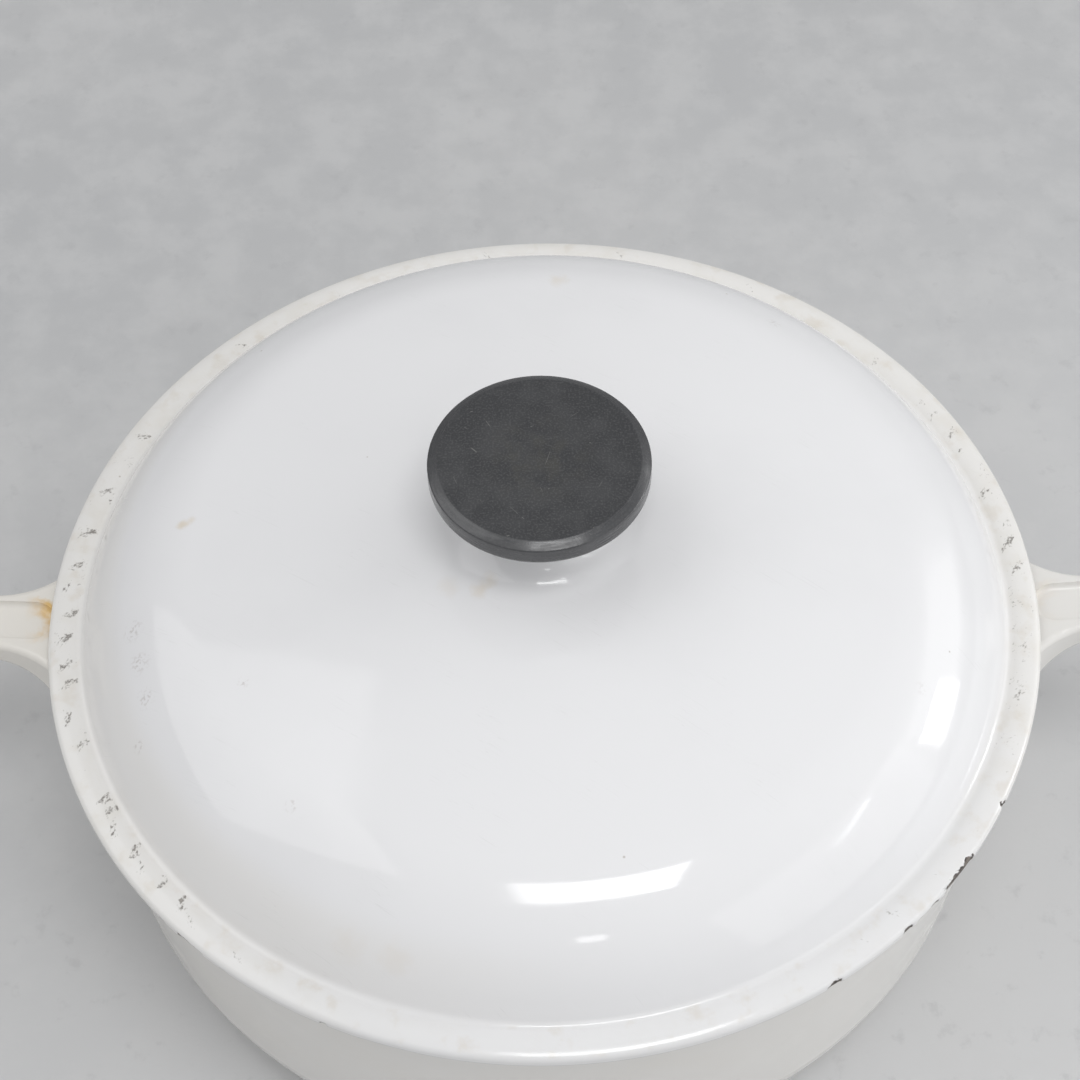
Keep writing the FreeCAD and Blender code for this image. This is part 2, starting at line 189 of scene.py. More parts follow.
class Finish:
    """A material and the shorthand to wire its nodes."""

    def __init__(self, name):
        self.material = bpy.data.materials.new(name)
        self.material.use_nodes = True
        self.tree = self.material.node_tree
        self.surface = self.tree.nodes["Principled BSDF"]
        self.place = self.add("ShaderNodeTexCoord").outputs["Object"]
        self.height = None

    def add(self, kind, inputs=None, **settings):
        node = self.tree.nodes.new(kind)
        for name, value in settings.items():
            setattr(node, name, value)
        for socket, value in (inputs or {}).items():
            self.plug(node.inputs[socket], value)
        return node

    def plug(self, socket, value):
        if isinstance(value, bpy.types.NodeSocket):
            self.tree.links.new(value, socket)
        else:
            socket.default_value = value

    def math(self, operation, first, second=0.0):
        return self.add("ShaderNodeMath", {0: first, 1: second}, operation=operation).outputs[0]

    def both(self, first, second):
        return self.math("MULTIPLY", first, second)

    def either(self, first, second):
        return self.math("MAXIMUM", first, second)

    def vector(self, operation, first, second=(0, 0, 0)):
        node = self.add("ShaderNodeVectorMath", {0: first, 1: second}, operation=operation)
        return node.outputs["Value" if operation in ("LENGTH", "DOT_PRODUCT", "DISTANCE") else 0]

    def noise(self, size, detail=3.0, rough=0.5, place=None, bend=0.0):
        """Soft noise from 0 to 1 with blots of about that many millimetres."""
        inputs = {"Vector": place or self.place, "Scale": 1 / (size * MM), "Detail": detail,
                  "Roughness": rough, "Distortion": bend}
        return self.add("ShaderNodeTexNoise", inputs).outputs["Fac"]

    def cells(self, size, place=None, feature="F1"):
        """Distance to the nearest of points scattered that many millimetres apart."""
        inputs = {"Vector": place or self.place, "Scale": 1 / (size * MM)}
        return self.add("ShaderNodeTexVoronoi", inputs, feature=feature).outputs["Distance"]

    def step(self, value, low, high, out_low=0.0, out_high=1.0):
        """Smooth step between two values."""
        inputs = {"Value": value, "From Min": low, "From Max": high,
                  "To Min": out_low, "To Max": out_high}
        node = self.add("ShaderNodeMapRange", inputs, interpolation_type="SMOOTHSTEP")
        return node.outputs["Result"]

    def mix(self, share, first, second):
        """One colour over another, where the share says."""
        node = self.add("ShaderNodeMix", data_type="RGBA")
        self.plug(node.inputs["Factor"], share)
        self.plug(node.inputs["A"], first if isinstance(first, bpy.types.NodeSocket) else (*first, 1))
        self.plug(node.inputs["B"], second if isinstance(second, bpy.types.NodeSocket) else (*second, 1))
        return node.outputs["Result"]

    def spot(self, centre, reach, edge=0.5, ragged=None):
        """1 near a point given in millimetres, falling to 0 at its reach."""
        away = self.vector("DISTANCE", self.place, tuple(value * MM for value in centre))
        if ragged is not None:
            away = self.math("ADD", away, self.both(self.math("SUBTRACT", ragged, 0.5), reach * MM))
        return self.step(away, reach * MM, reach * MM * edge)

    def radius(self):
        """Distance from the vertical axis, in metres."""
        flat = self.vector("MULTIPLY", self.place, (1, 1, 0))
        return self.vector("LENGTH", flat)

    def towards(self, degrees):
        """1 on the side that faces a bearing counted from +X, falling to -1 on the far side."""
        flat = self.vector("MULTIPLY", self.place, (1, 1, 0))
        turn = math.radians(degrees)
        unit = (math.cos(turn), math.sin(turn), 0)
        return self.vector("DOT_PRODUCT", self.vector("NORMALIZE", flat), unit)

    def band(self, value, low, high, soft):
        """1 between two limits given in millimetres, with soft ends."""
        rise = self.step(value, (low - soft) * MM, low * MM)
        fall = self.step(value, (high + soft) * MM, high * MM)
        return self.both(rise, fall)

    def bump(self, height, depth):
        """Raises the surface by a depth in millimetres where the height is 1."""
        inputs = {"Strength": 1.0, "Distance": depth * MM, "Height": height}
        if self.height is not None:
            inputs["Normal"] = self.height
        self.height = self.add("ShaderNodeBump", inputs).outputs["Normal"]

    def done(self, colour, roughness):
        self.plug(self.surface.inputs["Base Color"], colour)
        self.plug(self.surface.inputs["Roughness"], roughness)
        if self.height is not None:
            self.plug(self.surface.inputs["Normal"], self.height)
        print("finish", self.material.name, "with", len(self.tree.nodes), "nodes")
        return self.material


# %% [markdown]
# ## The enamel
# Vitreous enamel is glass fused onto the iron. It is glossy, slightly wavy where it ran while it
# was molten, and never one even white: the crown of this lid is a cool white and its flange is
# warmer. A first layer of code lays the white, and later layers put the years on it.

# %% Enamel layers
COOL_WHITE = (0.825, 0.825, 0.835)
WARM_WHITE = (0.815, 0.803, 0.78)
OLD_WHITE = (0.765, 0.74, 0.69)
RUST_STAIN = (0.70, 0.47, 0.18)
TEA_STAIN = (0.60, 0.52, 0.40)
IRON_DARK = (0.055, 0.047, 0.045)
IRON_GREY = (0.20, 0.175, 0.155)


def enamel_skin(finish):
    """The run of the glass: long low waves, and fine orange peel."""
    finish.bump(finish.noise(34, detail=1.0), 0.10)
    finish.bump(finish.noise(3.5, detail=1.0), 0.006)


def mottled(finish, colour, darker, size=30, share=0.5):
    """A white that drifts towards a darker one in broad clouds."""
    clouds = finish.step(finish.noise(size, detail=4.0), 0.42, 0.75)
    return finish.mix(finish.both(clouds, share), colour, darker)


def hairlines(finish, length=26, width=0.5):
    """Fine scratches: thin level lines of stretched noise."""
    stretch = (width / length, 1, width / length)
    across = finish.add("ShaderNodeVectorRotate", {"Vector": finish.place, "Angle": 0.6})
    long_way = finish.vector("MULTIPLY", across.outputs[0], stretch)
    lines = finish.noise(width * 2, detail=2.0, place=long_way)
    near = finish.math("ABSOLUTE", finish.math("SUBTRACT", lines, 0.5))
    patchy = finish.step(finish.noise(18, detail=2.0), 0.52, 0.66)
    return finish.both(finish.step(near, 0.006, 0.0), patchy)


def specks(finish, spacing, size, few):
    """Scattered round specks: the nearer few of a set of scattered points."""
    dots = finish.step(finish.cells(spacing), size / spacing, size / spacing * 0.5)
    chosen = finish.step(finish.noise(spacing * 2.2, detail=1.0), few, few + 0.04)
    return finish.both(dots, chosen)


# %% [markdown]
# ## The worn flange
# The flange takes the knocks of every stacking and every lid set down hard. Its crest carries a
# ring of short slanted dashes where the glass has spalled, most of them beside the two handles.
# Where they lie is kept on the lid's vertices as an attribute. The fine grain inside each dash is
# drawn by the finish, in coordinates that follow the ring.


# %% Flange wear
BARE = "bare_iron"
WORN = "wear_and_light"


def ring_place(finish, around):
    """Coordinates that follow a ring: along it, with the ring this many millimetres in radius,
    across it, and up."""
    parts = finish.add("ShaderNodeSeparateXYZ", {0: finish.place}).outputs
    # the seam of the angle is put at the back
    angle = finish.math("ARCTAN2", parts["X"], finish.both(parts["Y"], -1.0))
    along = finish.both(angle, around * MM)
    join = finish.add("ShaderNodeCombineXYZ", {"X": along, "Y": finish.radius(), "Z": parts["Z"]})
    return join.outputs[0]


def pits(finish, place):
    """Spalled grains where the flange shows wear, as their dark cores and their grey halos."""
    wear_and_light = finish.add("ShaderNodeAttribute", attribute_name=WORN).outputs["Fac"]
    slanted = finish.add("ShaderNodeVectorRotate", {"Vector": place, "Angle": 0.8})
    squeezed = finish.vector("MULTIPLY", slanted.outputs[0], (1.0, 0.55, 1.0))
    grains = finish.noise(0.6, detail=3.0, rough=0.6, place=squeezed)
    limit = finish.step(wear_and_light, 0.0, 1.0, 0.80, 0.44)
    over = finish.math("SUBTRACT", grains, limit)
    return finish.step(over, 0.05, 0.14), finish.step(over, -0.05, 0.06)


# %% Lid enamel
# Most of the places in the next two lists come from a separate program's output. The others
# were chosen one by one.
CROWN_STAINS = (
    # place in millimetres, reach, strength
    ((-88.4, 9.2, 117.2), 2.2, 0.50), ((-86.2, 10.0, 117.8), 1.8, 0.30),
    ((5.5, 87.7, 117.5), 3.8, 0.24),
    ((-45.0, -100.0, 103.6), 6.0, 0.09), ((-34.0, -103.5, 104.0), 6.0, 0.11),
    ((-14.8, -18.0, 125.6), 3.4, 0.26), ((-12.2, -16.2, 126.2), 3.0, 0.24),
    ((-22.0, -17.0, 125.3), 4.0, 0.12),
)
CROWN_SCUFFS = (
    # place in millimetres, reach
    ((-98.8, -18.5, 111.8), 4.0), ((-96.5, -28.0, 111.9), 4.0), ((-94.3, -37.6, 111.2), 3.6),
    ((-95.9, -47.9, 106.3), 2.4), ((-70.2, -38.7, 119.0), 2.0), ((-57.6, -70.8, 116.5), 2.2),
    ((62.0, 74.0, 115.5), 3.0), ((88.0, -40.0, 112.0), 3.2),
)


def lid_outside():
    finish = Finish("enamel_lid_outside")
    enamel_skin(finish)
    place = ring_place(finish, LID_RADIUS)
    radius = finish.radius()
    crown = mottled(finish, COOL_WHITE, (0.78, 0.78, 0.79), size=45)
    # painted shade: the crown is darker and warmer in a band just inside the crease on its left side
    left = finish.step(finish.towards(195), 0.0, 0.9)
    shade = finish.both(finish.band(radius, 109.0, 116.0, 7.0), left)
    crown = finish.mix(finish.both(shade, 0.6), crown, (0.78, 0.765, 0.74))
    # the flange is a warmer white round the sides and back, and a cooler white in front
    cool = finish.step(finish.towards(-75), 0.35, 0.95)
    flange = mottled(finish, WARM_WHITE, OLD_WHITE, size=8, share=0.6)
    flange = finish.mix(finish.both(cool, 0.75), flange, (0.785, 0.787, 0.797))
    on_flange = finish.step(radius, 113.6 * MM, 117.2 * MM)
    colour = finish.mix(on_flange, crown, flange)

    # thin brown film that has settled in patches on the flange and in the crease
    film = finish.step(finish.noise(5.5, detail=4.0, place=place), 0.52, 0.74)
    film = finish.both(film, finish.band(radius, 116.4, 123.0, 1.0))
    colour = finish.mix(finish.both(film, 0.26), colour, TEA_STAIN)

    # fine scratches and specks on the crown
    scratches = hairlines(finish)
    colour = finish.mix(finish.both(scratches, 0.22), colour, (0.45, 0.44, 0.43))
    dots = specks(finish, 9, 0.42, 0.60)
    colour = finish.mix(finish.both(dots, 0.45), colour, (0.30, 0.24, 0.18))

    # small clusters of grey scuffs
    scuffed = None
    for centre, reach in CROWN_SCUFFS:
        patch = finish.spot(centre, reach, 0.1)
        scuffed = patch if scuffed is None else finish.either(scuffed, patch)
    grains = finish.step(finish.noise(0.9, detail=3.0), 0.50, 0.62)
    colour = finish.mix(finish.both(finish.both(grains, scuffed), 0.45), colour, (0.47, 0.43, 0.41))

    # small stains: two yellow ones on the crown, one streak near the crease, one by the pedestal
    ragged = finish.noise(2.5, detail=3.0)
    for centre, reach, share in CROWN_STAINS:
        stain = finish.spot(centre, reach, 0.0, ragged)
        colour = finish.mix(finish.both(stain, share), colour, (0.66, 0.54, 0.36))

    core, halo = pits(finish, place)
    colour = finish.mix(finish.both(halo, 0.50), colour, (0.42, 0.40, 0.37))
    pit_colour = finish.mix(finish.noise(2.2, detail=2.0), (0.13, 0.12, 0.11), (0.34, 0.31, 0.28))
    colour = finish.mix(finish.both(core, 0.75), colour, pit_colour)

    # bare iron where the enamel has chipped off the edge
    chipped = finish.add("ShaderNodeAttribute", attribute_name=BARE).outputs["Fac"]
    rough_edge = finish.both(finish.math("SUBTRACT", finish.noise(0.7, detail=3.0), 0.5), 0.4)
    chipped = finish.step(finish.math("ADD", chipped, rough_edge), 0.42, 0.50)
    iron = finish.mix(finish.step(finish.noise(1.1, detail=4.0), 0.38, 0.62), IRON_DARK, IRON_GREY)
    colour = finish.mix(chipped, colour, iron)
    finish.bump(finish.math("SUBTRACT", 1.0, core), 0.12)

    smears = finish.step(finish.noise(14, detail=4.0), 0.45, 0.75, 0.07, 0.16)
    roughness = finish.math("ADD", smears, finish.both(scratches, 0.25))
    roughness = finish.math("ADD", roughness, finish.both(on_flange, 0.07))
    roughness = finish.either(roughness, finish.both(finish.either(core, chipped), 0.75))
    return finish.done(colour, roughness)


def lid_inside():
    finish = Finish("enamel_lid_inside")
    enamel_skin(finish)
    colour = mottled(finish, (0.78, 0.765, 0.73), (0.70, 0.66, 0.58), size=22)
    drips = specks(finish, 6, 0.9, 0.55)
    colour = finish.mix(finish.both(drips, 0.45), colour, TEA_STAIN)
    near_rib = finish.band(finish.radius(), 100.0, 112.0, 9.0)
    grime = finish.both(near_rib, finish.step(finish.noise(6, detail=5.0), 0.45, 0.75))
    colour = finish.mix(finish.both(grime, 0.5), colour, (0.52, 0.40, 0.26))
    roughness = finish.step(finish.noise(12, detail=4.0), 0.4, 0.75, 0.12, 0.28)
    return finish.done(colour, roughness)


def bare_seat():
    """The ground seat between lid and pot, which is left without white enamel."""
    finish = Finish("bare_iron_seat")
    grain = finish.noise(0.8, detail=4.0)
    colour = finish.mix(finish.step(grain, 0.35, 0.7), (0.035, 0.033, 0.033), (0.11, 0.10, 0.095))
    rust = finish.step(finish.noise(5, detail=4.0), 0.56, 0.72)
    colour = finish.mix(finish.both(rust, 0.6), colour, (0.17, 0.075, 0.030))
    finish.bump(grain, 0.03)
    return finish.done(colour, finish.step(grain, 0.3, 0.7, 0.45, 0.75))


ENAMEL_LID = lid_outside()
ENAMEL_LID_INSIDE = lid_inside()
BARE_SEAT = bare_seat()

# %% [markdown]
# ## The lid
# The lid is one casting: pedestal, crown, shoulder, flange, and a rib underneath that keeps it
# centred on the pot. All of them are turned from one section. Every curve meets the next without
# a corner, because molten enamel would have pulled back from a corner and left it thin.

# %% Lid section
CREST_RADIUS = 119.6
BEAD = 9.0
EDGE = 1.6
LOWER_EDGE = 0.8
CREASE = 2.0
LID_WALL = 4.0
CROWN_HEIGHT = 31.5
CROWN_SPHERE = 450.0
SHOULDER_SPHERE = 40.5
SHOULDER_START = 11.0
RIB_OUTER = 114.8
RIB_INNER = 110.8
RIB_ROUNDING = 1.2
NECK = 11.0
FLARE = 13.5
UPPER_FLARE = 14.0
SEAT_PLATE = 4.5
SEAT_EDGE = 0.8
SCREW_HOLE = 2.75
LID_STEPS = 480


def lid_section():
    crown = at(0, CREST + CROWN_HEIGHT - CROWN_SPHERE)
    shoulder = bearing(crown, CROWN_SPHERE - SHOULDER_SPHERE, SHOULDER_START)
    bead = at(CREST_RADIUS, CREST - BEAD)
    reach = NECK + FLARE
    flare = at(reach, crown.z + math.sqrt((CROWN_SPHERE + FLARE)**2 - reach**2))
    foot = heading(crown, flare)
    upper = at(NECK + UPPER_FLARE, flare.z)
    climb = math.degrees(math.asin((SEAT - SEAT_EDGE - flare.z) / UPPER_FLARE))
    upper_top = bearing(upper, UPPER_FLARE, -90 + climb)
    crease = meeting(shoulder, SHOULDER_SPHERE + CREASE, bead, BEAD + CREASE)
    shoulder_end = heading(shoulder, crease)
    bead_start = heading(bead, crease)
    edge_turn = math.degrees(math.asin((LID_RADIUS - EDGE - CREST_RADIUS) / (BEAD - EDGE)))
    edge = bearing(bead, BEAD - EDGE, edge_turn)
    lower = at(LID_RADIUS - LOWER_EDGE, RIM + LOWER_EDGE)
    rib_bottom = lid_low.z + RIB_ROUNDING
    under = SHOULDER_SPHERE - LID_WALL
    rib_meets = math.degrees(math.asin((RIB_INNER - shoulder.x) / under))
    well = NECK - LID_WALL
    seat_under = SEAT - SEAT_PLATE

    pen = Pen(SCREW_HOLE, SEAT)
    pen.line(upper_top.x - SEAT_EDGE, SEAT, 4)
    pen.arc(at(upper_top.x - SEAT_EDGE, upper_top.z), 90, 4)
    pen.line(upper_top.x, upper_top.z)
    pen.arc(upper, -climb, 5)
    pen.arc(flare, foot - 90, 20)
    pen.arc(crown, SHOULDER_START - foot, 24)
    pen.arc(shoulder, shoulder_end - SHOULDER_START, 36)
    pen.arc(crease, bead_start - shoulder_end, 8)
    pen.arc(bead, edge_turn - bead_start, 14)
    pen.arc(edge, 90 - edge_turn, 7)
    pen.line(LID_RADIUS, lower.z, 3)
    pen.arc(lower, 90, 4)
    pen.line(RIB_OUTER + LOWER_EDGE, RIM, 3)
    pen.arc(at(RIB_OUTER + LOWER_EDGE, RIM - LOWER_EDGE), -90, 3)
    pen.line(RIB_OUTER, rib_bottom)
    pen.arc(at(RIB_OUTER - RIB_ROUNDING, rib_bottom), 90, 4)
    pen.line(RIB_INNER + RIB_ROUNDING, lid_low.z)
    pen.arc(at(RIB_INNER + RIB_ROUNDING, rib_bottom), 90, 4)
    inner = bearing(shoulder, under, rib_meets)
    pen.line(inner.x, inner.z, 2)
    pen.arc(shoulder, SHOULDER_START - rib_meets, 14)
    pen.arc(crown, foot - SHOULDER_START, 10)
    pen.arc(flare, 90 - foot, 10)
    pen.round_corner(at(well, flare.z), at(well, seat_under), at(0, seat_under), SEAT_EDGE, 3)
    pen.line(SCREW_HOLE, seat_under)
    pen.line(SCREW_HOLE, SEAT)
    return pen


lid_mesh = lid_section().turn(LID_STEPS)
print("lid turned:", len(lid_mesh.faces), "faces")

# %% [markdown]
# ## Chips on the lid's edge
# Enamel chips off the lower edge of a flange when the lid is knocked. Each chip is a shallow
# scallop about as deep as the glass, so it is real relief and not only a dark mark. The flange's
# edge is divided more finely first. Each vertex near a chip then sinks, and its share of bare
# iron is kept as an attribute, which the enamel's finish reads. The dashes on the crest are kept
# the same way, but they are too shallow to move a vertex.

# %% Chips
ENAMEL_DEPTH = 0.38
EDGE_TOP = CREST - 0.6
# Most of the bearings of the chips and dashes come from a separate program's output, shifted by
# about half a degree. Those on the far side were chosen one by one.
CHIPS = (
    # bearing from +X in degrees, length along the edge, height up the edge
    (-28.9, 2.6, 2.8), (-39.1, 12.5, 3.0), (-44.0, 4.4, 1.9), (-46.0, 2.0, 1.2), (-48.1, 3.0, 2.5),
    (-58.4, 3.8, 2.6), (-131.8, 8.0, 1.9), (-136.2, 2.0, 1.2), (-126.8, 2.2, 1.0), (-114.3, 1.6, 1.4),
    (-107.0, 12.0, 0.6), (38.0, 4.0, 1.6), (74.0, 2.4, 2.0), (118.0, 6.5, 1.5), (126.0, 2.2, 1.2),
    (163.0, 3.0, 1.8),
)
DASH_LENGTH = 6.0
DASH_WIDTH = 2.1
DASH_SLANT = 45
DASHES = (
    # strength, bearings from +X in degrees
    (0.95, (168.2, 173.3, 176.6, -179.4, -175.9, -171.9, -169.4, -164.4,
            -152.4, -150.6, -148.2, -144.4)),
    (0.8, (161.6, -160.4, -142.2, -138.9, -135.4, -133.0, -125.9,
           25.6, 15.6, 10.6, 3.6, -14.4, 152.0)),
    (0.6, (40.6, 36.6, 31.6, 29.0, 22.6, -1.5, -9.4, -41.4, -48.4, -53.4,
           61.0, 79.0, 97.0, 118.0, 133.0)),
    (1.1, (7.6,)),
)


def refine_edge(bm):
    """Divides the faces of the flange's edge three times round the ring."""
    def on_edge(vert):
        return vert.co.z < EDGE_TOP and vert.co.xy.length > LID_RADIUS - 2.0 and vert.co.z > RIM - 0.01
    ring = [edge for edge in bm.edges if all(on_edge(vert) for vert in edge.verts)
            and abs(edge.verts[0].co.z - edge.verts[1].co.z) < 0.001
            and abs(edge.verts[0].co.xy.length - edge.verts[1].co.xy.length) < 0.001]
    bmesh.ops.subdivide_edges(bm, edges=ring, cuts=2, use_grid_fill=True)


def along_ring(point, degrees):
    """Signed distance along the ring from a bearing to a point."""
    turned_by = math.degrees(math.atan2(point.y, point.x)) - degrees
    return math.radians((turned_by + 180) % 360 - 180) * point.xy.length


def bareness(point):
    """How bare the iron is at a point of the flange's edge: 0 under enamel, 1 in a chip."""
    up = point.z - RIM
    worst = 0.0
    for middle, length, height in CHIPS:
        side = abs(along_ring(point, middle)) / (length / 2)
        # the fourth power gives a long chip an even height and round ends
        away = (side**4 + (up / height)**4)**0.25
        worst = max(worst, 1.5 - away)
    grain = noise.noise(point * 0.9) * 0.22 + noise.noise(point * 2.3) * 0.12
    # a thin broken line of wear along the lowest edge, all the way round
    line = 0.40 - up / 0.45 + noise.noise(point * 0.35) * 0.9
    return min(max(max(worst, line) + grain, 0.0), 1.0)


def wear(point):
    """How much wear the crest of the flange has at a point: 0 for sound glass, 1 in a dash."""
    off_crest = point.xy.length - CREST_RADIUS
    if abs(off_crest) > DASH_LENGTH / 2:
        return 0.0
    # a thin scatter of grains, thickest beside the handles
    beside_handles = abs(point.x) / point.xy.length
    worst = 0.50 * beside_handles**3 * (0.7 + noise.noise(point * 0.22))
    for strength, bearings in DASHES:
        for middle in bearings:
            along = along_ring(point, middle)
            if abs(along) < DASH_LENGTH:
                # every dash has its own slant, strength and place across the crest
                vary = math.sin(middle * 7)
                slant = math.radians(DASH_SLANT + 22 * vary)
                across = off_crest + vary * 1.1
                long_way = along * math.cos(slant) + across * math.sin(slant)
                short_way = across * math.cos(slant) - along * math.sin(slant)
                away = math.hypot(long_way / DASH_LENGTH * 2, short_way / DASH_WIDTH * 2)
                worst = max(worst, (strength + 0.15 * vary) * min(1.5 - away, 1.0))
    return max(worst, 0.0)


refine_edge(lid_mesh)
lid_mesh.normal_update()
bare = lid_mesh.verts.layers.float.new(BARE)
wear_and_light = lid_mesh.verts.layers.float.new(WORN)
chipped_count = 0
for vert in lid_mesh.verts:
    if vert.co.xy.length > RIB_OUTER and vert.co.z > EDGE_TOP:
        vert[wear_and_light] = wear(vert.co)
    if vert.co.xy.length > LID_RADIUS - 2.6 and RIM - 0.01 < vert.co.z < EDGE_TOP:
        vert[bare] = bareness(vert.co)
        chipped_count += vert[bare] > 0.5
        vert.co -= vert.normal * ENAMEL_DEPTH * min(max((vert[bare] - 0.35) * 3, 0), 1)
print("lid after chipping:", len(lid_mesh.faces), "faces,", chipped_count, "bare vertices")

# %% Lid piece
# the outside has the first material, which every face starts with
INSIDE, SEATING = 1, 2
for face in lid_mesh.faces:
    middle = face.calc_center_median()
    if abs(middle.z - RIM) < 0.05 and middle.xy.length > RIB_OUTER:
        face.material_index = SEATING
    elif middle.z < RIM and middle.xy.length < RIB_OUTER + LOWER_EDGE:
        face.material_index = INSIDE
    elif face.normal.z < 0 and middle.xy.length < RIB_OUTER and middle.z < SEAT - SEAT_EDGE - 2:
        face.material_index = INSIDE
make_piece(
    lid_mesh, "lid_casting", "lid", "lid", (ENAMEL_LID, ENAMEL_LID_INSIDE, BARE_SEAT))

# %% [markdown]
# ## The knob
# The disc is compression-moulded phenolic: a hard black resin that goes dull and brownish with
# heat. Its worn bevel catches the light, and years of fingers and shelves left short scratches
# on the flat top. The disc is turned too, and its edges are rounded by the pen.


# %% Knob finish
# Most of these places, bearings and lengths come from a separate program's output. The last
# four rows were chosen one by one.
SCRATCHES = (
    # middle on the disc's top, bearing, length, width
    ((-11.9, 10.6), -59, 2.8, 0.22), ((-15.2, 2.8), -45, 2.6, 0.42), ((2.0, 0.1), 73, 5.5, 0.16),
    ((-1.6, 9.6), 21, 1.1, 0.22), ((-17.2, 9.5), -34, 1.2, 0.2), ((0.4, -9.1), -69, 1.9, 0.14),
    ((-15.8, 14.4), 10, 0.7, 0.35), ((-7.3, -22.3), 15, 0.9, 0.5), ((-3.9, -17.3), -40, 1.0, 0.25),
    ((11.9, 4.3), 0, 0.5, 0.4), ((2.1, -9.0), 30, 0.5, 0.35), ((-6.0, -15.0), -50, 4.5, 0.13),
    ((8.5, 13.0), 38, 3.5, 0.12), ((14.0, -8.0), 60, 2.6, 0.12), ((-19.5, -6.0), -68, 3.0, 0.14),
)


def scratch(finish, middle, degrees, length, width):
    """One short straight scratch on a level top, fading towards its ends."""
    moved = finish.vector("SUBTRACT", finish.place, (middle[0] * MM, middle[1] * MM, 0))
    turned = finish.add("ShaderNodeVectorRotate", {"Vector": moved, "Angle": -math.radians(degrees)})
    parts = finish.add("ShaderNodeSeparateXYZ", {0: turned.outputs[0]}).outputs
    along = finish.math("ABSOLUTE", parts["X"])
    across = finish.math("ABSOLUTE", parts["Y"])
    long_way = finish.step(along, length / 2 * MM, length / 5 * MM)
    return finish.both(long_way, finish.step(across, width / 2 * MM, 0.0))


def phenolic():
    finish = Finish("phenolic_black")
    powder = finish.noise(0.5, detail=3.0)
    clouds = finish.step(finish.noise(7, detail=5.0), 0.40, 0.68)
    colour = finish.mix(clouds, (0.024, 0.025, 0.028), (0.038, 0.039, 0.042))
    # the middle has faded towards olive brown
    faded = finish.spot((0, 0, disc_high.z), 17.0, 0.1)
    olive = finish.both(faded, finish.step(finish.noise(3.2, detail=5.0), 0.38, 0.70))
    colour = finish.mix(finish.both(olive, 0.5), colour, (0.060, 0.058, 0.048))
    colour = finish.mix(finish.both(finish.step(powder, 0.45, 0.70), 0.6), colour, (0.082, 0.083, 0.085))

    marks = None
    for place, degrees, length, width in SCRATCHES:
        mark = scratch(finish, place, degrees, length, width)
        marks = mark if marks is None else finish.either(marks, mark)
    colour = finish.mix(finish.both(marks, 0.55), colour, (0.25, 0.25, 0.235))
    dust = specks(finish, 2.2, 0.16, 0.58)
    colour = finish.mix(finish.both(dust, 0.4), colour, (0.24, 0.23, 0.19))

    # the bevel and the rim are rubbed smooth, and their marks run along the ring
    rim = finish.step(finish.radius(), 23.6 * MM, 24.3 * MM)
    streaks = finish.noise(0.8, detail=3.0, place=ring_place(finish, 2.6))
    rubbed = finish.both(rim, finish.step(streaks, 0.35, 0.70, 0.55, 1.0))
    colour = finish.mix(finish.both(rubbed, 0.7), colour, (0.072, 0.073, 0.077))
    finish.bump(powder, 0.012)
    finish.bump(finish.math("SUBTRACT", 1.0, marks), 0.02)
    finish.surface.inputs["IOR"].default_value = 1.62
    top = finish.step(finish.noise(5, detail=4.0), 0.35, 0.7, 0.50, 0.64)
    roughness = finish.math("SUBTRACT", top, finish.both(rubbed, 0.42))
    return finish.done(colour, roughness)


PHENOLIC = phenolic()

# %% Knob disc
HUB_RADIUS = 12.0
HUB = 1.5
BEVEL_WIDTH = 2.3
BEVEL_RISE = 1.2
BEVEL_EASE = 0.45
DISC_LOWER_EDGE = 1.2
DISC_STEPS = 256


def disc_section():
    underside = SEAT + HUB
    rim_radius = disc_high.x
    centre = at(0, disc_high.z)
    bevel_foot = at(rim_radius, disc_high.z - BEVEL_RISE)
    bevel_top = at(rim_radius - BEVEL_WIDTH, disc_high.z)
    low = at(rim_radius, underside)
    hub_root = at(HUB_RADIUS, underside)
    pen = Pen(0, SEAT)
    pen.line(HUB_RADIUS, SEAT, 3)
    pen.line(HUB_RADIUS, underside, 2)
    pen.round_corner(hub_root, low, bevel_foot, DISC_LOWER_EDGE, 5, 3)
    pen.round_corner(low, bevel_foot, bevel_top, BEVEL_EASE, 4, 3)
    pen.round_corner(bevel_foot, bevel_top, centre, BEVEL_EASE, 4, 2)
    pen.line(0, disc_high.z, 8)
    return pen


disc_mesh = disc_section().turn(DISC_STEPS)
make_piece(
    disc_mesh, "knob_phenolic", "knob", "knob_disc", (PHENOLIC,))

# %% [markdown]
# ## The hidden fixings
# Under the lid one screw with two washers draws the knob down onto the pedestal, and a brass
# insert in the disc takes its thread. Their CAD shapes are right as they are, so they only get
# finishes: dulled zinc plate with the faint rings of turning, and brass.


# %% Metal finishes
def turned_metal(name, bright, dull, ring_size):
    finish = Finish(name)
    tarnish = finish.step(finish.noise(1.6, detail=4.0), 0.40, 0.70)
    colour = finish.mix(tarnish, bright, dull)
    rings = finish.add("ShaderNodeTexWave", {"Vector": finish.place, "Scale": 1 / (ring_size * MM),
                       "Distortion": 0.6}, wave_type="RINGS", rings_direction="Z")
    finish.bump(rings.outputs["Fac"], 0.01)
    finish.plug(finish.surface.inputs["Metallic"], 1.0)
    return finish.done(colour, finish.step(tarnish, 0.0, 1.0, 0.28, 0.50))


STEEL = turned_metal("zinc_plated_steel", (0.58, 0.58, 0.57), (0.34, 0.33, 0.31), 2.0)
BRASS = turned_metal("brass", (0.78, 0.60, 0.30), (0.48, 0.34, 0.15), 2.0)
for node, metal in (("knob_screw", STEEL), ("flat_washer", STEEL), ("lock_washer", STEEL),
                    ("knob_insert", BRASS)):
    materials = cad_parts[node].data.materials
    materials.clear()
    materials.append(metal)
    print(node, "is finished in", metal.name)


